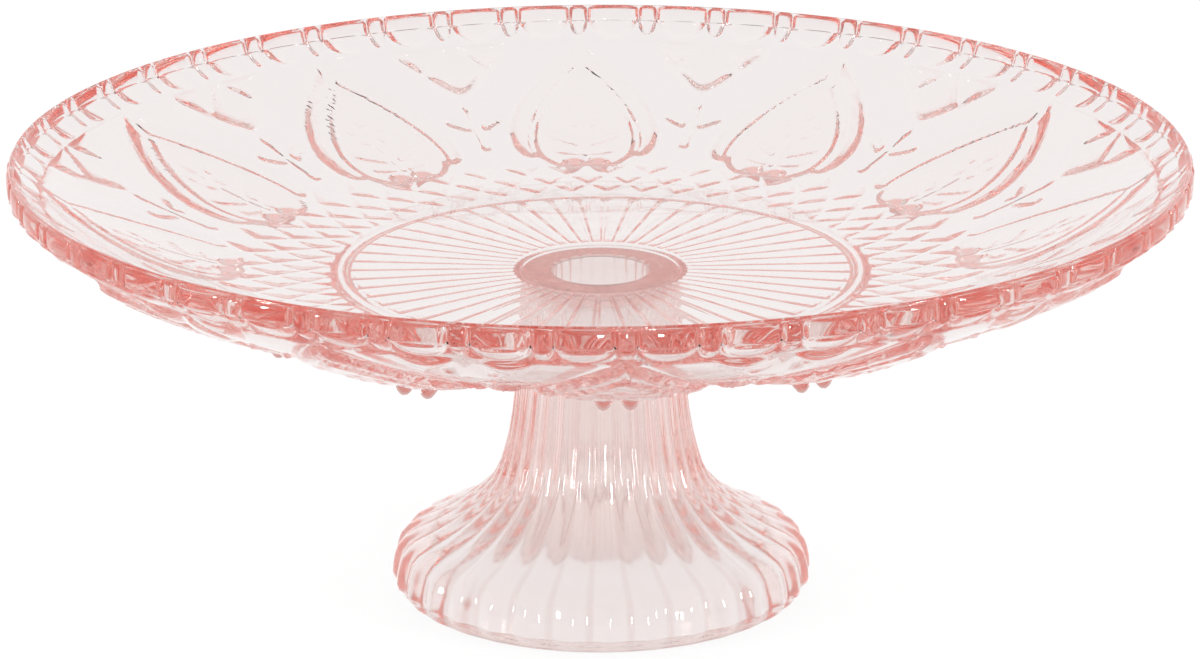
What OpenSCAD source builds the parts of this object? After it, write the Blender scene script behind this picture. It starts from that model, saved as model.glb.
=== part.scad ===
// Cake stand in pressed glass: a shallow dish on a hollow fluted foot, bonded at the neck.
// Millimetres, +Z up. The origin is the centre of the foot's resting ring, on the table.

/* [Overall] */
// Diameter of the plate over its rim blocks
plate_d = 300; // [294:2:320]
// Height of the rim above the table
stand_h = 117; // [105:1:135]
// Depth of the dish, from the rim down to the well
dish_depth = 30; // [24:1:34]
// Thickness of the glass under the well
plate_t = 5; // [4:0.25:6]
// Extra thickness of the glass towards the rim
rim_extra = 1.4; // [0.6:0.1:2.6]

/* [Rim] */
// Number of wide blocks round the rim; as many narrow ones stand between them
rim_pairs = 48; // [36:6:60]
// Height from the crest down to the foot of the blocks' upright faces
band_h = 6; // [4.5:0.25:7]
// Height of the blocks' slanted lower ends, which run in as far as they go down
bevel_h = 4.8; // [4:0.1:5.5]
// Radius of the grooves between the blocks
rim_groove_r = 1.1; // [0.6:0.1:1.4]

/* [Well] */
// Radius of the flat well, where the ring bead runs
well_r = 66; // [58:1:70]
// Number of sunburst ribs under the well
rib_count = 50; // [30:2:60]
// Height that the ring bead stands out
bead_h = 1.8; // [1:0.1:2.4]

/* [Leaf panels] */
// Number of leaf panels
leaf_count = 12; // [8:1:12]
// Radius at a leaf's round base
leaf_base_r = 93; // [90:1:96]
// Radius at a leaf's pointed tip
leaf_tip_r = 137; // [130:1:139]
// Greatest width of a leaf
leaf_w = 29; // [20:1:32]
// Height that a leaf stands out
leaf_h = 2; // [1:0.1:2.4]
// Width of the slope round a leaf
leaf_slope = 5.5; // [3:0.5:6]
// Radius of the pearls that hang at each leaf's base
pearl_r = 3; // [2:0.1:3.2]

/* [Pedestal] */
// Number of flutes
flute_count = 32; // [24:2:36]
// Greatest radius of the foot
foot_r = 54; // [48:1:60]
// Radius of the neck, where it meets the plate
neck_r = 20.4; // [18:0.2:22]
// Depth of the flutes at the foot's edge
flute_d = 1.3; // [0.5:0.1:1.6]
// Thickness of the pedestal's wall at the neck
neck_wall = 8.4; // [6:0.2:10]

/* [Hidden] */
$fn = 96;

plate_r = plate_d / 2;
brow_h = 0.9;                   // height of the round over the rim's blocks
brow_w = 1.4;                   // and its width
crest_r = plate_r - brow_w;     // highest circle of the rim
lip_w = 0.8;                    // width of the narrow slope inside the crest
bevel_r = plate_r - bevel_h;    // inner end of the blocks
tip_h = 1.2;                    // how far the blocks' ends stand out of the underside
well_z = stand_h - dish_depth;  // top surface of the well
under_z = well_z - plate_t;     // underside of the well
seat_h = 2.7;                   // the round seat under the well, which the pedestal carries
seat_r = neck_r + 0.6;
seat_z = under_z - seat_h;
bond_t = 0.3;
neck_top = seat_z - bond_t;
hollow_r = neck_r - neck_wall;  // radius of the hollow inside the neck
slope_steps = 14;
thicken_r = 0.8 * plate_r;      // from here out the glass gets thicker
thicken_w = 25;                 // over this width

// Share of the dish's depth that the inner face has climbed, u = 0 at the well and 1 at the rim
function climb(u) = 0.9 * pow(u, 2.2) + 0.1 * pow(u, 4);
function ramp(u) = u <= 0 ? 0 : u >= 1 ? 1 : u * u * (3 - 2 * u);
function top_z(r) = r <= well_r ? well_z : well_z + dish_depth * climb((r - well_r) / (plate_r - 1 - well_r));
function underside_z(r) = top_z(r) - plate_t - rim_extra * ramp((r - thicken_r) / thicken_w);
function slope_r(i, outer) = well_r + (outer - well_r) * i / slope_steps;

// Half section of the plate from its axis out, with sag added below the underside
module plate_section(sag = 0) {
    inner = [for (i = [slope_steps:-1:0]) let (r = slope_r(i, crest_r - lip_w)) [r, top_z(r)]];
    outer = [for (i = [0:slope_steps]) let (r = slope_r(i, bevel_r - tip_h)) [r, underside_z(r) - sag]];
    band_z = stand_h - band_h;
    edge = [
        [bevel_r, band_z - bevel_h], [plate_r, band_z], [plate_r, stand_h - brow_h],
        [plate_r - brow_w / 2, stand_h - brow_h * 0.4], [crest_r, stand_h]
    ];
    polygon(concat([[0, well_z], [0, under_z - sag]], outer, edge, inner));
}

// Teardrop outline with a round base at the origin's side and a point at +Y
module leaf_outline(base, tip, w) {
    bulb = w / 2;
    centre = base + bulb * 0.98;
    side = [for (a = [-80:20:20]) [bulb * cos(a), centre + bulb * sin(a)]];
    shoulder = [[w * 0.37, centre + (tip - centre) * 0.5], [w * 0.17, centre + (tip - centre) * 0.8]];
    right = concat(side, shoulder);
    left = [for (i = [len(right) - 1:-1:0]) [-right[i][0], right[i][1]]];
    polygon(concat(right, [[0, tip]], left));
}

// A layer of the given height on the underside, in the shape of one outline per leaf
module leaf_layer(height, base, tip, w) {
    intersection() {
        difference() {
            rotate_extrude() plate_section(height);
            rotate_extrude() plate_section(-plate_t / 2);
        }
        for (i = [0:leaf_count - 1])
            rotate([0, 0, i * 360 / leaf_count])
                translate([0, 0, seat_z])
                    linear_extrude(stand_h - seat_z) leaf_outline(base, tip, w);
    }
}

// The leaves, each on a wider one that stands for the slope round it
module leaf_panels() {
    leaf_layer(leaf_h, leaf_base_r, leaf_tip_r, leaf_w);
    leaf_layer(leaf_h / 2, leaf_base_r + 3, leaf_tip_r + leaf_slope, leaf_w + 2 * leaf_slope);
}

module pearls() {
    pearl_at = leaf_base_r + 2.5;
    spread = 2; // degrees either side of the leaf's axis
    for (i = [0:leaf_count - 1], side = [-1, 1])
        rotate([0, 0, i * 360 / leaf_count + side * spread])
            translate([0, pearl_at, underside_z(pearl_at) - leaf_h - pearl_r * 0.2])
                sphere(pearl_r);
}

module sunburst_ribs() {
    start = seat_r + 1;
    inner_r = 0.8; // each rib is a cone that lies mostly inside the glass
    outer_r = 1.4;
    for (i = [0:rib_count - 1])
        rotate([0, 0, (i + 0.5) * 360 / rib_count])
            translate([0, start, under_z + inner_r * 0.75])
                rotate([-90, 0, 0])
                    cylinder(h = well_r - start, r1 = inner_r, r2 = outer_r, $fn = 24);
}

module ring_bead() {
    translate([0, 0, under_z])
        rotate_extrude() translate([well_r, 0]) circle(bead_h, $fn = 32);
}

module rim_grooves() {
    pitch = 360 / rim_pairs;
    narrow_share = 0.28; // of each pair's pitch
    for (i = [0:rim_pairs - 1], side = [-1, 1])
        rotate([0, 0, i * pitch + side * pitch * narrow_share / 2])
            translate([0, plate_r + rim_groove_r * 0.35, stand_h - band_h - bevel_h - 1])
                cylinder(h = band_h + bevel_h - 0.5, r = rim_groove_r, $fn = 24);
}

module plate() {
    color([0.95, 0.74, 0.72, 0.6])
        difference() {
            union() {
                rotate_extrude() plate_section();
                translate([0, 0, seat_z]) cylinder(h = seat_h + 1, r = seat_r);
                ring_bead();
                sunburst_ribs();
                leaf_panels();
                pearls();
            }
            rim_grooves();
        }
}

// Outer half section of the pedestal, from the table up: [radius, height] where h is the pedestal's height
function foot_outline(h) = [
    [foot_r - 4.2, 0], [foot_r - 1, 2], [foot_r, 4.5], [foot_r - 0.5, 8], [foot_r - 1.2, 11],
    [foot_r - 3.2, 13.5], [foot_r * 0.84, 16], [foot_r * 0.735, 19], [foot_r * 0.65, 22],
    [neck_r * 1.54, 25], [neck_r * 1.4, 28.5], [neck_r * 1.28, 32.5], [neck_r * 1.19, 38],
    [neck_r * 1.11, 46], [neck_r * 1.055, 56], [neck_r, h]
];
// Inner half section, from the top of the hollow down to the table
function foot_hollow(h) = [
    [hollow_r, h], [hollow_r + 0.6, 53], [hollow_r + 1.6, 38], [hollow_r + 2.7, 32.5], [hollow_r + 4.6, 28],
    [hollow_r + 7.4, 24.5], [hollow_r + 11, 21.6], [foot_r * 0.6, 16.8], [foot_r * 0.745, 12.8],
    [foot_r * 0.8, 10.4], [foot_r * 0.84, 7.6], [foot_r * 0.863, 4.6], [foot_r * 0.88, 0]
];
// Share of the flutes' depth at height z: none under the foot ring and least on the neck
function fluting(z) = z < 1 ? 0 : z < 4 ? 0.4 : z < 12 ? 1 : z < 24 ? 0.7 : z < 32 ? 0.5 : 0.38;

module pedestal() {
    per_flute = 4;
    around = flute_count * per_flute;
    outline = foot_outline(neck_top);
    hollow = foot_hollow(neck_top);
    section = concat(outline, hollow);
    rings = len(section);
    dip = [for (k = [0:per_flute - 1]) pow(abs(cos(180 * k / per_flute)), 2)];
    points = [
        for (i = [0:rings - 1], j = [0:around - 1])
            let (fluted = i < len(outline) - 1 ? flute_d * fluting(section[i][1]) * dip[j % per_flute] : 0)
            let (r = section[i][0] - fluted, a = (j + 0.5) * 360 / around)
            [r * cos(a), r * sin(a), section[i][1]]
    ];
    faces = [
        for (i = [0:rings - 1], j = [0:around - 1])
            let (up = (i + 1) % rings, next = (j + 1) % around)
            [i * around + j, up * around + j, up * around + next, i * around + next]
    ];
    color([0.96, 0.82, 0.8, 0.6])
        polyhedron(points, faces, convexity = 6);
}

module bond_ring() {
    color([0.95, 0.95, 0.92, 0.5])
        translate([0, 0, neck_top])
            difference() {
                cylinder(h = bond_t, r = neck_r - 0.5);
                translate([0, 0, -1]) cylinder(h = bond_t + 2, r = hollow_r + 0.5);
            }
}

plate();
pedestal();
bond_ring();
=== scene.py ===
"""A pressed-glass cake stand: a shallow dish on a hollow fluted foot, in pale pink glass."""

import math

import bpy
import numpy as np
from mathutils import Matrix, Vector


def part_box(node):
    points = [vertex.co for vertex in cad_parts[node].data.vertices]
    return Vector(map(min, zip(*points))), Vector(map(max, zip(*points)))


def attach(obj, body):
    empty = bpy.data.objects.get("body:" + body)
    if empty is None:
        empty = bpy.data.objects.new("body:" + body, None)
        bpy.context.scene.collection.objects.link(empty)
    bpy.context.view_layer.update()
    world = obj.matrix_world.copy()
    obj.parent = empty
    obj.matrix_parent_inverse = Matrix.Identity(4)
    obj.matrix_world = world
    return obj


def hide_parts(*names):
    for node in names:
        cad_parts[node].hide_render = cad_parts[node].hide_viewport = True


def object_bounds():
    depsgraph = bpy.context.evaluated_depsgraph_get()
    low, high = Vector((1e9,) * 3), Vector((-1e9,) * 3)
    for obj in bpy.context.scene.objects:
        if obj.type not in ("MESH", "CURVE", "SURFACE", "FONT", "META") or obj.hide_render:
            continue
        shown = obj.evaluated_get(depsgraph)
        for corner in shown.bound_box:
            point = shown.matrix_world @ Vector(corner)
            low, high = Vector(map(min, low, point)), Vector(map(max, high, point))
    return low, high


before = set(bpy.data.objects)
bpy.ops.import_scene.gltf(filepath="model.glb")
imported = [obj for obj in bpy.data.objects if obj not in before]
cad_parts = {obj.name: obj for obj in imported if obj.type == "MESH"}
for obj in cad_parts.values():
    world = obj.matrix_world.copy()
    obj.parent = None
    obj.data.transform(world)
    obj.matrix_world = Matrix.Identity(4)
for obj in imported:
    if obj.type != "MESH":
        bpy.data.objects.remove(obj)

CAD_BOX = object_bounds()
MM = 0.001

# ---------------------------------------------------------------- dimensions, in millimetres
PLATE_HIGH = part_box("plate")[1] / MM
FOOT_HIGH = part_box("pedestal")[1] / MM
STAND_H = PLATE_HIGH.z
PLATE_R = PLATE_HIGH.x
FOOT_R = FOOT_HIGH.x
NECK_TOP = FOOT_HIGH.z

DISH_DEPTH = 30.0
PLATE_T = 5.0
RIM_EXTRA = 1.4                    # how much thicker the glass is at the rim
WELL_R = 66.0
LIP_R = PLATE_R - 1.0              # where the climb of the inner face ends
NECK_R = 20.4
NECK_WALL = 8.4
SEAT_R = NECK_R + 0.6
WELL_Z = STAND_H - DISH_DEPTH
UNDER_Z = WELL_Z - PLATE_T
BOND_T = 0.3
SEAT_Z = NECK_TOP + BOND_T
CONTACT = 0.02                     # pieces that are bonded run into each other by this much
CREST_R = PLATE_R - 1.4
FACE_R = PLATE_R - 0.5             # the blocks' upright faces, before they bulge
BROW_H = 0.9                       # height of the round over the rim's blocks
BAND_H = 6.0                       # from the crest to the lower edge of the blocks' upright faces
BEVEL_H = 4.8                      # the blocks' slanted lower ends, which run in as far as they go down
TONGUE = 1.8                       # how far the blocks stand out of the rim's body, at the top
TIP = 0.95                         # and at the foot of the bevel

RIM_PAIRS = 48
RIBS = 50
LEAVES = 12
FLUTES = 32
PER_FLUTE = 16                     # points round each flute
PITCH = 360.0 / RIM_PAIRS          # one wide and one narrow rim block
LEAF_PITCH = 360.0 / LEAVES
FLUTE_PITCH = 360.0 / FLUTES
NARROW_SHARE = 0.27                # of the pitch that is the narrow block
GROOVE_W = 0.038                   # half a groove between blocks, as a share of the pitch
FLUTE_D = 1.3                      # depth of the grooves between flutes


def smooth(t):
    """0 below 0, 1 above 1 and an S-curve between."""
    t = np.clip(t, 0.0, 1.0)
    return t * t * (3 - 2 * t)


def rounded(d, width):
    """A rounded bump in the distance d: 1 at d = 0 and 0 beyond width."""
    return np.where(np.abs(d) < width, np.cos(np.clip(d / width, -1, 1) * math.pi / 2) ** 2, 0.0)


def wrap(a, period):
    """a folded to the nearest multiple of period, from -period/2 to period/2."""
    return (a + period / 2) % period - period / 2


# ---------------------------------------------------------------- plate
def climb(u):
    """Share of the dish's depth that its inner face has climbed from the well (0) to the lip (1)."""
    return 0.9 * u ** 2.2 + 0.1 * u ** 4


def top_z(r):
    """Height of the smooth upper face at radius r."""
    return WELL_Z + DISH_DEPTH * climb(np.clip((r - WELL_R) / (LIP_R - WELL_R), 0, 1))


def underside_z(r):
    """Height of the lower face at radius r, without its relief."""
    return top_z(r) - PLATE_T - RIM_EXTRA * smooth((r - WELL_R * 1.8) / 26.0)


LEAF_IN = (136.6, 89.0, 14.6)      # a leaf's inner outline: radius of tip and root, and half width
LEAF_OUT = (143.0, 89.8, 20.3)     # the arch round it
LEAF_RISE = 2.0
LEAF_STEP = 0.4                    # share of the rise that is the sharp edge of the arch
LEAF_FOOT = 92.0                   # radius where a leaf's panel starts
OUTLINE_D, OUTLINE_W = 1.4, 1.7    # the groove along a leaf's outline: depth and half width
ROSETTE_RISE, ROSETTE_AT = 0.5, 118.5
SPRIG_RISE = 1.1
RIB_RISE, RIB_SPREAD = 0.1, 0.25   # height of the sunburst's ribs at the axis, and what the well's edge adds
BEAD_RISE, BEAD_W = 1.9, 2.3       # the ring bead round the well: height and half width
LATTICE_IN, LATTICE_ROW = 68.3, 7.63    # radius where the lattice starts, and half a pyramid's length
LATTICE_RISE = 0.5
UPPER_LOW, UPPER_ROW = 126.0, 9.5  # the same for the pyramids between the leaves' tips
UPPER_RISE = 1.3
PEARL_AT, PEARL_R = 95.0, 3.0      # radius where the pearls hang, and their own
PEARL_SPREAD = 1.95                # degrees from the leaf's axis


def leaf_half_width(y, outline):
    """Half the width of a leaf outline at the distance y from the plate's axis."""
    tip, root, half = outline
    s = np.clip((tip - y) / (tip - root), 0, 1)
    widest = 0.85 / 1.35
    return half * (s / widest) ** 0.85 * ((1 - s) / (1 - widest)) ** 0.5


def pyramids(a, r, r_in, row, shift, blunt):
    """Height from 0 to 1 of a lattice of blunt four-sided pyramids whose corners lie on rows of radius."""
    u, v = a / PITCH + shift, (r - r_in) / (2 * row)
    p, q = (u + v) % 1.0, (u - v) % 1.0
    edge = 2 * np.minimum(np.minimum(p, 1 - p), np.minimum(q, 1 - q))
    return 1 - (1 - edge) ** blunt


def ridge(x, y, start, end, width):
    """A rounded ridge from start to end, in the leaf's own plane."""
    (x0, y0), (x1, y1) = start, end
    length = math.hypot(x1 - x0, y1 - y0)
    ux, uy = (x1 - x0) / length, (y1 - y0) / length
    along = np.clip((x - x0) * ux + (y - y0) * uy, 0, length)
    return rounded(np.hypot(x - x0 - along * ux, y - y0 - along * uy), width)


def rosette(x, y):
    """The faint flower and leaves inside a leaf panel."""
    d, turn = np.hypot(x, y - ROSETTE_AT), np.arctan2(x, y - ROSETTE_AT)
    bloom = rounded(d - 4.2, 2.4) * (0.5 + 0.5 * np.cos(5 * turn)) + rounded(d, 1.6)
    stem = ridge(x, y, (0, 113.0), (0, 99), 1.2)
    lobes = sum(
        ridge(x, y, (side * 2.4, y0), (side * reach, y0 + rise), 2.1)
        for side in (-1, 1)
        for y0, reach, rise in ((100.0, 7.0, 1.5), (105.5, 8.5, 4.0))
    )
    return np.clip(bloom + stem + lobes, 0, 1)


def sprig(x, y):
    """The small flower between two leaf panels."""
    stem = ridge(x, y, (0, 105.0), (0, 121.0), 1.0) * 0.7
    beads = rounded(np.hypot(x, y - 122.6), 2.1) + rounded(np.hypot(x, y - 104.5), 1.9)
    petals = sum(ridge(x, y, (s * 2.6, 114.6), (s * 6.6, 117.2), 1.9) for s in (-1, 1))
    return np.clip(stem + beads + petals, 0, 1)


def plate_relief(r, a):
    """Millimetres that the relief stands out of the underside, at radius r and azimuth a in degrees."""
    al = wrap(a, LEAF_PITCH)                       # from the nearest leaf's axis
    x, y = r * np.sin(np.radians(al)), r * np.cos(np.radians(al))
    am = wrap(a - LEAF_PITCH / 2, LEAF_PITCH)      # from the axis between two leaves
    xm, ym = r * np.sin(np.radians(am)), r * np.cos(np.radians(am))

    ribs = 1 - np.abs(np.sin(np.radians(a) * RIBS / 2)) ** 12
    fade = smooth((r - SEAT_R - 0.5) / 3) * smooth((WELL_R - 2.0 - r) / 1.5)
    h = fade * (RIB_RISE + RIB_SPREAD * (r / WELL_R)) * ribs

    inside = leaf_half_width(y, LEAF_IN) - np.abs(x)    # towards the middle of the leaf is positive
    within = leaf_half_width(y, LEAF_OUT) - np.abs(x)
    panel = smooth(inside / 1.2 + 0.5) * smooth((r - LEAF_FOOT) / 1.2)
    slope = np.clip(within / np.maximum(within - inside, 0.5), 0, 1)
    slope = (LEAF_STEP * smooth(within / 1.2) + (1 - LEAF_STEP) * slope) * smooth((r - LEAF_FOOT - 5.0) / 3.0)
    leaf = np.maximum(panel, slope)
    outline = rounded(inside - 0.2, OUTLINE_W) * smooth((r - LEAF_FOOT) / 1.2)

    tooth = LATTICE_IN + 3 * LATTICE_ROW + LATTICE_ROW * (1 - np.abs(2 * ((a / PITCH) % 1.0) - 1))
    in_band = (r > LATTICE_IN) & (r < tooth)
    band = np.where(in_band, pyramids(a, r, LATTICE_IN, LATTICE_ROW, 0.5, 2.6), 0.0)
    h = h + LATTICE_RISE * band * (1 - leaf)

    in_upper = (np.abs(am) < (r - UPPER_LOW) / UPPER_ROW * PITCH / 2) & (r > UPPER_LOW)
    upper = np.where(in_upper, pyramids(am, r, UPPER_LOW, UPPER_ROW, 0.0, 4.0), 0.0)
    h = h + UPPER_RISE * upper * (within < 0) * smooth((r - UPPER_LOW) / 6.0)

    h = h + LEAF_RISE * leaf - OUTLINE_D * outline + ROSETTE_RISE * panel * rosette(x, y)
    h = h + SPRIG_RISE * sprig(xm, ym) * (1 - leaf)
    return h * smooth((PLATE_R - BEVEL_H - TIP - r) / 1.5)


def pearl_height(r, a):
    """How far the pearls at each leaf's base hang below the underside."""
    al = np.abs(wrap(a, LEAF_PITCH)) - PEARL_SPREAD
    d = np.hypot(r - PEARL_AT, np.radians(al) * r) / PEARL_R
    return 1.9 * PEARL_R * np.clip(1 - d ** 2, 0, 1) ** 0.6


def rim_azimuths(per_pair):
    """Azimuths round the whole circle, closer together at the edges of the rim's blocks."""
    grid = np.linspace(0, 1, 400)
    edge = NARROW_SHARE / 2
    dense = 1 + 1.6 * np.exp(-(((np.minimum(grid, 1 - grid) - edge) / 0.05) ** 2))
    total = np.concatenate([[0], np.cumsum((dense[1:] + dense[:-1]) / 2)])
    local = np.interp(np.linspace(0, 1, per_pair, endpoint=False), total / total[-1], grid)
    return (np.arange(RIM_PAIRS)[:, None] + local[None, :]).ravel() * PITCH


def rim_block(a):
    """At azimuth a: share of the blocks' depth, share of the way out from a block's middle, and if narrow."""
    u = np.abs(wrap(a, PITCH)) / PITCH             # 0 at a narrow block's axis, 0.5 at a wide one's
    edge = NARROW_SHARE / 2
    narrow = u < edge
    across = np.where(narrow, u / edge, (0.5 - u) / (0.5 - edge))
    return 1 - rounded(u - edge, GROOVE_W), np.clip(across, 0, 1), narrow


def plate_under_rings():
    """Radii of the rings of the underside, from the seat out to the foot of the bevel."""
    return np.concatenate([
        np.linspace(SEAT_R + 1.0, SEAT_R + 3.0, 3),
        np.linspace(SEAT_R + 5, WELL_R - 4.0, 7),
        np.linspace(WELL_R - 3.0, WELL_R + 2.4, 8),
        np.linspace(LATTICE_IN + 0.8, 91.6, 20),
        np.linspace(92.4, 98.0, 8),
        np.linspace(99.1, PLATE_R - BEVEL_H - TIP - 0.6, 37),
    ])


def grid_mesh(name, rings, closed_top=True):
    """A closed mesh from rings of points, each an (n, 3) array in millimetres or one point at a pole."""
    verts, faces, starts = [], [], []
    for ring in rings:
        starts.append(sum(len(v) for v in verts))
        verts.append(np.atleast_2d(ring))
    for k in range(len(rings) - 1):
        faces += stitched(starts[k], len(verts[k]), starts[k + 1], len(verts[k + 1]))
    if not closed_top:
        faces += stitched(starts[-1], len(verts[-1]), starts[0], len(verts[0]))
    mesh = bpy.data.meshes.new(name)
    mesh.from_pydata((np.concatenate(verts) * MM).tolist(), [], faces)
    mesh.validate()
    mesh.update()
    mesh.polygons.foreach_set("use_smooth", [True] * len(mesh.polygons))
    piece = bpy.data.objects.new(name, mesh)
    bpy.context.scene.collection.objects.link(piece)
    return piece


def stitched(i, n, j, m):
    """Faces between a ring of n points from index i and the next ring of m points from index j."""
    if n == 1:
        return [(i, j + (k + 1) % m, j + k) for k in range(m)]
    if m == 1:
        return [(i + k, i + (k + 1) % n, j) for k in range(n)]
    if n == m:
        return [(i + k, i + (k + 1) % n, j + (k + 1) % n, j + k) for k in range(n)]
    if n > m:
        step = n // m
        faces = []
        for k in range(m):
            mid = k * step + step // 2
            faces += [(i + q, i + (q + 1) % n, j + k) for q in range(k * step, mid)]
            faces.append((i + mid, j + (k + 1) % m, j + k))
            faces += [(i + q, i + (q + 1) % n, j + (k + 1) % m) for q in range(mid, (k + 1) * step)]
        return faces
    return [tuple(reversed(f)) for f in stitched(j, m, i, n)]


def ring_points(r, z, a):
    """Points at radius r, height z and azimuth a in degrees, counted from -Y towards +X."""
    t = np.radians(a)
    r, z = np.broadcast_to(r, t.shape), np.broadcast_to(z, t.shape)
    return np.stack([r * np.sin(t), -r * np.cos(t), z], axis=-1)


def plate_rings():
    """All rings of the plate, from the middle of its seat out under it, over the rim and back in on top."""
    fine, a = rim_azimuths(32), rim_azimuths(16)
    coarse = a[::4]
    seat = SEAT_Z - CONTACT
    rings = [np.array([[0.0, 0.0, seat]])]
    for r in (7.0, 14.0, SEAT_R - 0.8):
        rings.append(ring_points(r, seat, coarse))
    for r, z in ((SEAT_R - 0.2, seat + 0.3), (SEAT_R, seat + 0.9), (SEAT_R + 0.3, UNDER_Z - 0.5)):
        rings.append(ring_points(r, z, a))
    for r in plate_under_rings():
        slope = underside_z(r + 0.5) - underside_z(r - 0.5)
        nr, nz = slope / math.hypot(1, slope), -1 / math.hypot(1, slope)
        bead = BEAD_RISE * math.sqrt(max(0.0, 1 - ((r - WELL_R - 0.3) / BEAD_W) ** 2))
        h = np.maximum(plate_relief(np.full_like(a, r), a), bead)
        h = np.maximum(h, pearl_height(np.full_like(a, r), a))
        rings.append(ring_points(r + h * nr, underside_z(r) + h * nz, a))
    rings += rim_rings(fine)
    for r in np.linspace(CREST_R - 0.8, WELL_R, 30):
        rings.append(ring_points(r, top_z(r), coarse))
    for r in (58.0, 48.0, 36.0, 22.0, 10.0):
        rings.append(ring_points(r, WELL_Z, coarse))
    rings.append(np.array([[0.0, 0.0, WELL_Z]]))
    return rings


def rim_rings(a):
    """The blocks' slanted, tongue-shaped lower ends and upright faces, and the brow and crest over them."""
    face, across, narrow = rim_block(a)
    end = np.where(narrow, 0.85, 1.0)                          # where a tongue ends down the bevel
    belly = np.where(narrow, 0.8, 0.45) * (1 - across ** 2) - np.where(narrow, 0.35, 0.0)
    rings = []
    for t in (1.03, 0.97, 0.9, 0.82, 0.72, 0.58, 0.4, 0.2, 0.04):
        sunk = (TONGUE + (TIP - TONGUE) * t) / math.sqrt(2)    # of the body under the tongues
        tongue = np.minimum(face, np.clip(1 - np.sqrt(across ** 2 + (t / end) ** 2) ** 4, 0, 1))
        r = FACE_R - BEVEL_H * t - sunk * (1 - tongue) + belly * tongue * (1 - t)
        z = STAND_H - BAND_H - BEVEL_H * t + sunk * (1 - tongue)
        rings.append(ring_points(r, z, a))
    height = BAND_H - BROW_H
    pillow = ((0.03, 0.55), (0.1, 0.25), (0.22, 0.06), (0.5, 0.0), (0.8, 0.06), (0.91, 0.25), (0.98, 0.55))
    for up, pull in pillow:                                    # share of the height, and how far it draws in
        r = FACE_R - TONGUE * (1 - face) + (belly - pull) * face
        rings.append(ring_points(r, STAND_H - BAND_H + height * up, a))
    rings.append(ring_points(PLATE_R - 1.0 - 0.3 * (1 - face), STAND_H - BROW_H + 0.1, a))
    for r, z in ((PLATE_R - 0.85, BROW_H * 0.6), (PLATE_R - 1.05, BROW_H * 0.2), (CREST_R, 0.0)):
        rings.append(ring_points(r, STAND_H - z, a))
    return rings


# ---------------------------------------------------------------- pedestal
def foot_outline():
    """Outer half section of the pedestal, from the table up: radius, height and share of the flutes."""
    f, n = FOOT_R + 0.25, NECK_R
    return [
        (f - 4.6, 0.0, 0.0), (f - 3.4, 0.15, 0.1), (f - 2.2, 0.9, 0.3), (f - 1.7, 1.9, 0.4),
        (f - 1.5, 2.7, 0.5), (f - 0.3, 3.3, 0.9), (f, 4.6, 1.0), (f - 0.2, 7.0, 1.0),
        (f - 0.7, 9.5, 1.0), (f - 1.5, 11.6, 0.9), (f - 3.3, 13.6, 0.8), (f - 6.2, 15.2, 0.75),
        (f * 0.80, 17.2, 0.7), (f * 0.735, 19.2, 0.7),
        (f * 0.68, 21.2, 0.7), (f * 0.62, 23.6, 0.7), (f * 0.565, 26.4, 0.7), (n * 1.37, 29.4, 0.7),
        (n * 1.285, 33.0, 0.7), (n * 1.225, 37.0, 0.65), (n * 1.165, 42.0, 0.6), (n * 1.115, 48.0, 0.6),
        (n * 1.07, 56.0, 0.6), (n * 1.035, 65.0, 0.6), (n * 1.01, 74.0, 0.6), (n, NECK_TOP - 0.8, 0.4),
        (n - 0.5, NECK_TOP + CONTACT, 0.0),
    ]


def foot_hollow():
    """Inner half section, from the top of the hollow down to the table."""
    f, n = FOOT_R, NECK_R - NECK_WALL
    return [
        (n, NECK_TOP + CONTACT), (n + 0.1, NECK_TOP - 8), (n + 0.3, 62.0), (n + 0.6, 53.0), (n + 1.0, 45.0),
        (n + 1.6, 38.0), (n + 2.7, 32.5), (n + 4.6, 28.0), (n + 7.4, 24.5), (n + 11.0, 21.6),
        (f * 0.51, 19.0), (f * 0.60, 16.8), (f * 0.68, 14.8), (f * 0.745, 12.8), (f * 0.80, 10.4),
        (f * 0.84, 7.6), (f * 0.863, 4.6), (f * 0.875, 2.0), (f * 0.88, 0.0),
    ]


def flute_phase(a):
    """0 on a flute's crest and 0.5 either way in the grooves beside it."""
    return wrap(a, FLUTE_PITCH) / FLUTE_PITCH


def flute_azimuths():
    """Evenly spaced azimuths round the pedestal."""
    return np.arange(FLUTES * PER_FLUTE) * 360.0 / (FLUTES * PER_FLUTE)


def point_values(piece, name, values):
    """Keep one number per point of a mesh under a name that its material can read."""
    piece.data.attributes.new(name, "FLOAT", "POINT").data.foreach_set("value", values.astype(np.float32))


def pedestal_rings():
    """All rings of the pedestal, up its fluted outside and down its smooth inside."""
    a = flute_azimuths()
    phase = flute_phase(a)
    rings = []
    for r, z, share in foot_outline():
        groove = np.abs(np.sin(math.pi * phase)) ** (2 + 3 * (1 - r / FOOT_R))
        rings.append(ring_points(r - FLUTE_D * share * groove * min(1.0, r / FOOT_R + 0.25), z, a))
    for r, z in foot_hollow():
        rings.append(ring_points(r, z, a))
    return rings


# ---------------------------------------------------------------- materials
GLASS_TINT, GLASS_DENSITY = (0.94, 0.36, 0.26), 10.8    # colour of deep glass, and how soon it is reached
PLATE_VEIL = (0.87, 0.856, 0.852)                       # what passing in and out of the surface leaves
FOOT_VEIL = (0.905, 0.872, 0.865)
BOND_TINT, BOND_VEIL = (0.95, 0.85, 0.84), (0.9, 0.68, 0.645)
# painted deep red for the pearls, standing in for the long light paths inside them
PEARL_PAINTED_RED = (0.8, 0.32, 0.28)
# painted shade for the grooves between the pedestal's flutes
GROOVE_PAINTED_SHADE = (0.8, 0.7, 0.68)
HOLLOW_FROST = 0.14                                     # roughness that the pedestal's inside adds
FLOOR_GLOW = 0.87


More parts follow.
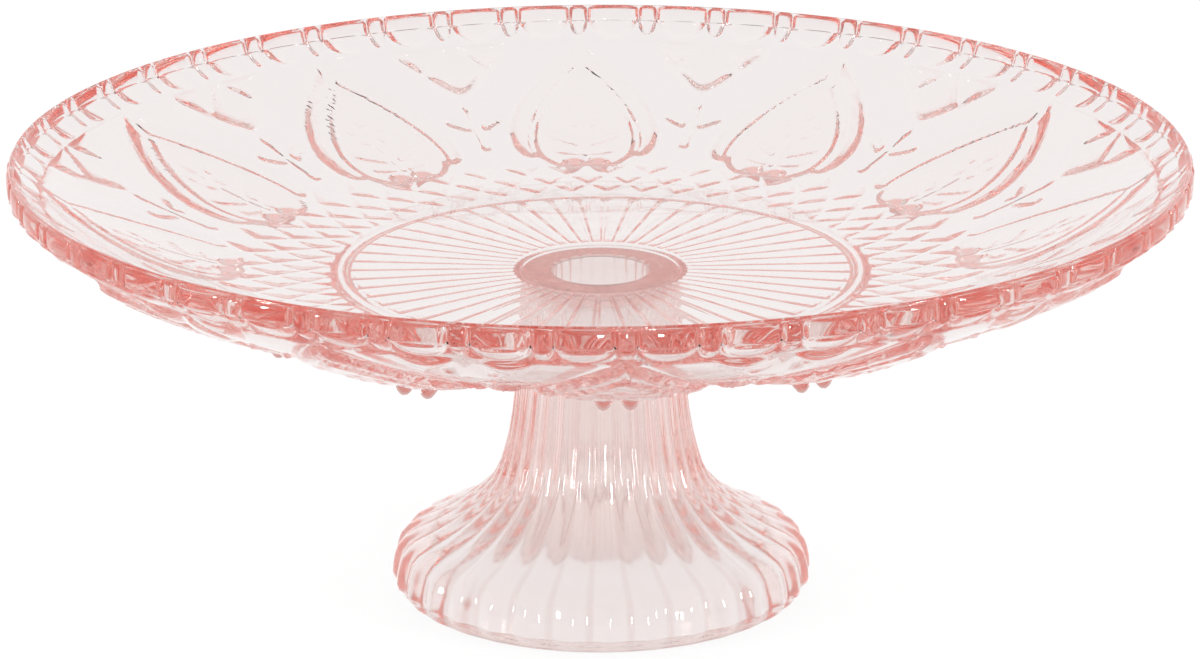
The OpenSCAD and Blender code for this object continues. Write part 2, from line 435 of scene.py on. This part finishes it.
def new_material(name):
    """An empty node material: itself, its node tree and its output node."""
    material = bpy.data.materials.new(name)
    material.use_nodes = True
    tree = material.node_tree
    tree.nodes.clear()
    return material, tree, tree.nodes.new("ShaderNodeOutputMaterial")


def add(tree, kind, **settings):
    """A new node with the given properties."""
    node = tree.nodes.new(kind)
    for key, value in settings.items():
        setattr(node, key, value)
    return node


def noise(tree, coords, scale, detail):
    node = add(tree, "ShaderNodeTexNoise")
    node.inputs["Scale"].default_value = scale
    node.inputs["Detail"].default_value = detail
    tree.links.new(coords, node.inputs["Vector"])
    return node.outputs["Fac"]


def mapped(tree, value, low, high):
    """A noise's middle range, stretched to run from low to high."""
    node = add(tree, "ShaderNodeMapRange")
    node.inputs["From Min"].default_value, node.inputs["From Max"].default_value = 0.3, 0.7
    node.inputs["To Min"].default_value, node.inputs["To Max"].default_value = low, high
    tree.links.new(value, node.inputs["Value"])
    return node.outputs["Result"]


def pressed_glass(name, absorb, density, veil):
    """Clear glass that darkens with depth, with the faint flow waves and fire-polish of a pressing."""
    material, tree, out = new_material(name)
    coords = add(tree, "ShaderNodeTexCoord").outputs["Object"]
    glass = add(tree, "ShaderNodeBsdfPrincipled")
    glass.inputs["Base Color"].default_value = (*veil, 1)
    glass.inputs["Transmission Weight"].default_value = 1.0
    glass.inputs["IOR"].default_value = 1.5
    tree.links.new(mapped(tree, noise(tree, coords, 45.0, 3.0), 0.0, 0.03), glass.inputs["Roughness"])
    waves = add(tree, "ShaderNodeBump")
    waves.inputs["Strength"].default_value = 0.25
    waves.inputs["Distance"].default_value = 0.0006
    tree.links.new(noise(tree, coords, 38.0, 2.0), waves.inputs["Height"])
    tree.links.new(waves.outputs["Normal"], glass.inputs["Normal"])
    depth = add(tree, "ShaderNodeVolumeAbsorption")
    depth.inputs["Color"].default_value = (*absorb, 1)
    depth.inputs["Density"].default_value = density
    tree.links.new(glass.outputs["BSDF"], out.inputs["Surface"])
    tree.links.new(depth.outputs["Volume"], out.inputs["Volume"])
    return material


def surface(tree):
    """The glass's surface shader."""
    return next(n for n in tree.nodes if n.type == "BSDF_PRINCIPLED")


def blend_base(tree, share, colour):
    """Blend the glass's surface colour into another one, where share is 1."""
    base = surface(tree).inputs["Base Color"]
    blend = add(tree, "ShaderNodeMix", data_type="RGBA")
    blend.inputs["A"].default_value = base.default_value
    blend.inputs["B"].default_value = (*colour, 1)
    tree.links.new(share, blend.inputs["Factor"])
    tree.links.new(blend.outputs["Result"], base)


def frost_hollow_and_shade_grooves(tree):
    """Roughen what the plunger pressed, and paint shade into the grooves between the flutes as faint darker
    lines.
    """
    rough = surface(tree).inputs["Roughness"]
    polish = rough.links[0].from_socket
    frost = add(tree, "ShaderNodeMath", operation="MULTIPLY_ADD")
    frost.inputs[1].default_value = HOLLOW_FROST
    tree.links.new(add(tree, "ShaderNodeAttribute", attribute_name="hollow").outputs["Fac"], frost.inputs[0])
    tree.links.new(polish, frost.inputs[2])
    tree.links.new(frost.outputs["Value"], rough)
    # painted shade: the grooves' surface colour is darkened so that they show as lines
    blend_base(tree, add(tree, "ShaderNodeAttribute", attribute_name="groove").outputs["Fac"], GROOVE_PAINTED_SHADE)


def paint_pearls_red(tree):
    """Paint the pearls, which hang lowest at the leaves' bases, as deep a red as thick glass shows: painted
    colour for the long light paths inside them.
    """
    coords = add(tree, "ShaderNodeTexCoord").outputs["Object"]
    place = add(tree, "ShaderNodeSeparateXYZ")
    flat = add(tree, "ShaderNodeVectorMath", operation="MULTIPLY")
    flat.inputs[1].default_value = (1, 1, 0)
    reach = add(tree, "ShaderNodeVectorMath", operation="LENGTH")
    tree.links.new(coords, place.inputs["Vector"])
    tree.links.new(coords, flat.inputs[0])
    tree.links.new(flat.outputs["Vector"], reach.inputs[0])
    out_there = add(tree, "ShaderNodeMath", operation="GREATER_THAN")
    out_there.inputs[1].default_value = (PEARL_AT - PEARL_R - 1) * MM
    tree.links.new(reach.outputs["Value"], out_there.inputs[0])
    low = add(tree, "ShaderNodeMapRange")
    root = (float(underside_z(PEARL_AT)) - LEAF_RISE) * MM
    low.inputs["From Min"].default_value, low.inputs["From Max"].default_value = root, root - 0.8 * MM
    tree.links.new(place.outputs["Z"], low.inputs["Value"])
    share = add(tree, "ShaderNodeMath", operation="MULTIPLY")
    tree.links.new(out_there.outputs["Value"], share.inputs[0])
    tree.links.new(low.outputs["Result"], share.inputs[1])
    # painted deep red, standing in for light's long paths inside the pearls
    blend_base(tree, share.outputs["Value"], PEARL_PAINTED_RED)


def floor_material():
    """White paper lit from below, as on a light table."""
    material, tree, out = new_material("floor_paper")
    coords = add(tree, "ShaderNodeTexCoord").outputs["Object"]
    paper = add(tree, "ShaderNodeBsdfPrincipled")
    paper.inputs["Roughness"].default_value = 0.9
    paper.inputs["Emission Color"].default_value = (1, 1, 1, 1)
    paper.inputs["Emission Strength"].default_value = FLOOR_GLOW
    ramp = add(tree, "ShaderNodeMix", data_type="RGBA")
    ramp.inputs["A"].default_value = (0.12, 0.12, 0.12, 1)
    ramp.inputs["B"].default_value = (0.14, 0.14, 0.14, 1)
    tree.links.new(noise(tree, coords, 60.0, 3.0), ramp.inputs["Factor"])
    tree.links.new(ramp.outputs["Result"], paper.inputs["Base Color"])
    tree.links.new(paper.outputs["BSDF"], out.inputs["Surface"])
    return material


# ---------------------------------------------------------------- stage
SKY_FRONT, SKY_BACK, SKY_TOP = 0.8, 1.0, 0.8            # brightness in front, behind the stand and overhead
BOX_W, BOX_H, BOX_POWER = 0.12, 0.5, 11                 # the narrow softboxes: metres and watts
BOXES = {"front": (0.15, -1.9, 0.3), "side": (-1.5, -0.7, 0.45), "fill": (1.4, -0.9, 0.5)}
LENS_MM, SENSOR_MM = 167.46, 36.0
DISTANCE = 1.415                                        # from the camera to the middle of the rim's circle


def make_floor(size=8.0):
    """A wide sheet of paper just under the foot."""
    mesh = bpy.data.meshes.new("floor")
    s = size / 2
    mesh.from_pydata([(-s, -s, 0), (s, -s, 0), (s, s, 0), (-s, s, 0)], [], [(0, 1, 2, 3)])
    floor = bpy.data.objects.new("floor", mesh)
    floor.location.z = CAD_BOX[0].z - 0.0002
    bpy.context.scene.collection.objects.link(floor)
    mesh.materials.append(floor_material())


def softbox(name, location):
    """A narrow upright area light that looks at the dish."""
    lamp = bpy.data.lights.new(name, "AREA")
    lamp.shape, lamp.size, lamp.size_y, lamp.energy = "RECTANGLE", BOX_W, BOX_H, BOX_POWER
    box = bpy.data.objects.new(name, lamp)
    box.location = location
    aim = Vector((0, 0, STAND_H * MM * 0.6)) - box.location
    box.rotation_euler = aim.to_track_quat("-Z", "Y").to_euler()
    bpy.context.scene.collection.objects.link(box)


def studio():
    """Soft light that is brighter low down than overhead, and boxes in front for the highlights."""
    world = bpy.data.worlds.new("studio")
    world.use_nodes = True
    tree = world.node_tree
    coords = add(tree, "ShaderNodeTexCoord").outputs["Generated"]
    place = add(tree, "ShaderNodeSeparateXYZ")
    tree.links.new(coords, place.inputs["Vector"])
    across = add(tree, "ShaderNodeMapRange")       # darker behind the camera than behind the stand
    across.inputs["From Min"].default_value, across.inputs["From Max"].default_value = -0.9, 0.3
    across.inputs["To Min"].default_value, across.inputs["To Max"].default_value = SKY_FRONT, SKY_BACK
    tree.links.new(place.outputs["Y"], across.inputs["Value"])
    up = add(tree, "ShaderNodeMapRange")           # and a little darker overhead
    up.inputs["From Min"].default_value, up.inputs["From Max"].default_value = 0.2, 1.0
    up.inputs["To Min"].default_value, up.inputs["To Max"].default_value = 1.0, SKY_TOP
    tree.links.new(place.outputs["Z"], up.inputs["Value"])
    both = add(tree, "ShaderNodeMath", operation="MULTIPLY")
    tree.links.new(across.outputs["Result"], both.inputs[0])
    tree.links.new(up.outputs["Result"], both.inputs[1])
    tree.nodes["Background"].inputs["Color"].default_value = (1.0, 1.0, 1.0, 1)
    tree.links.new(both.outputs["Value"], tree.nodes["Background"].inputs["Strength"])
    bpy.context.scene.world = world
    for name, location in BOXES.items():
        softbox(name, location)


def camera():
    """A long lens a little above the dish, turned down from the rim's centre so that the foot is in view."""
    elevation, azimuth, roll, down = 15.75, -2.29, -0.2, 1.847    # degrees
    data = bpy.data.cameras.new("camera")
    data.sensor_width, data.lens = SENSOR_MM, LENS_MM
    cam = bpy.data.objects.new("camera", data)
    e, a = math.radians(elevation), math.radians(azimuth)
    back = Vector((math.sin(a) * math.cos(e), -math.cos(a) * math.cos(e), math.sin(e)))
    rim = Vector((0, 0, STAND_H * MM))
    cam.location = rim + back * DISTANCE
    level = (-back).to_track_quat("-Z", "Y").to_matrix()
    turn = level @ Matrix.Rotation(math.radians(roll), 3, "Z") @ Matrix.Rotation(math.radians(-down), 3, "X")
    cam.rotation_euler = turn.to_euler()
    data.clip_start, data.clip_end = 0.05, 50
    bpy.context.scene.collection.objects.link(cam)
    bpy.context.scene.camera = cam


def light_paths(bounces=48):
    """Enough bounces that light trapped in the thick glass comes out tinted and not black."""
    cycles = bpy.context.scene.cycles
    cycles.max_bounces = bounces
    cycles.transmission_bounces = bounces
    cycles.glossy_bounces = bounces
    cycles.diffuse_bounces = 3


# ---------------------------------------------------------------- the stand
def dress_plate():
    """The plate's fine mesh and its glass."""
    plate = grid_mesh("pressed_plate", plate_rings())
    glass = pressed_glass("plate_glass", GLASS_TINT, GLASS_DENSITY, PLATE_VEIL)
    paint_pearls_red(glass.node_tree)
    plate.data.materials.append(glass)
    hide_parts("plate")
    return plate


def dress_foot():
    """The pedestal's fine mesh and its glass, which knows its hollow and its grooves by point values; the
    grooves get painted shade.
    """
    foot = grid_mesh("pressed_pedestal", pedestal_rings(), closed_top=False)
    around, outer, inner = FLUTES * PER_FLUTE, len(foot_outline()), len(foot_hollow())
    phase = flute_phase(flute_azimuths())
    shares = np.repeat([share for _, _, share in foot_outline()], around)
    # painted shade: this mask darkens the surface colour in the grooves
    groove = smooth(np.abs(phase) * 8 - 2.8)       # 1 in the groove's bottom and 0 on most of the flute
    point_values(foot, "hollow", np.repeat([0.0, 1.0], [outer * around, inner * around]))
    point_values(foot, "groove", np.concatenate([np.tile(groove, outer) * shares, np.zeros(inner * around)]))
    glass = pressed_glass("foot_glass", GLASS_TINT, GLASS_DENSITY, FOOT_VEIL)
    frost_hollow_and_shade_grooves(glass.node_tree)
    foot.data.materials.append(glass)
    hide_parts("pedestal")
    return foot


def dress():
    """The fine meshes in place of the CAD's plate and pedestal, and a glass for the bond between them."""
    for piece in (dress_plate(), dress_foot()):
        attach(piece, "root")
    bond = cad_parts["bond_ring"]
    bond.data.materials.clear()
    bond.data.materials.append(pressed_glass("bond_clear", BOND_TINT, GLASS_DENSITY, BOND_VEIL))


camera()
studio()
make_floor()
dress()
bpy.context.scene.view_settings.view_transform = "Standard"
light_paths()
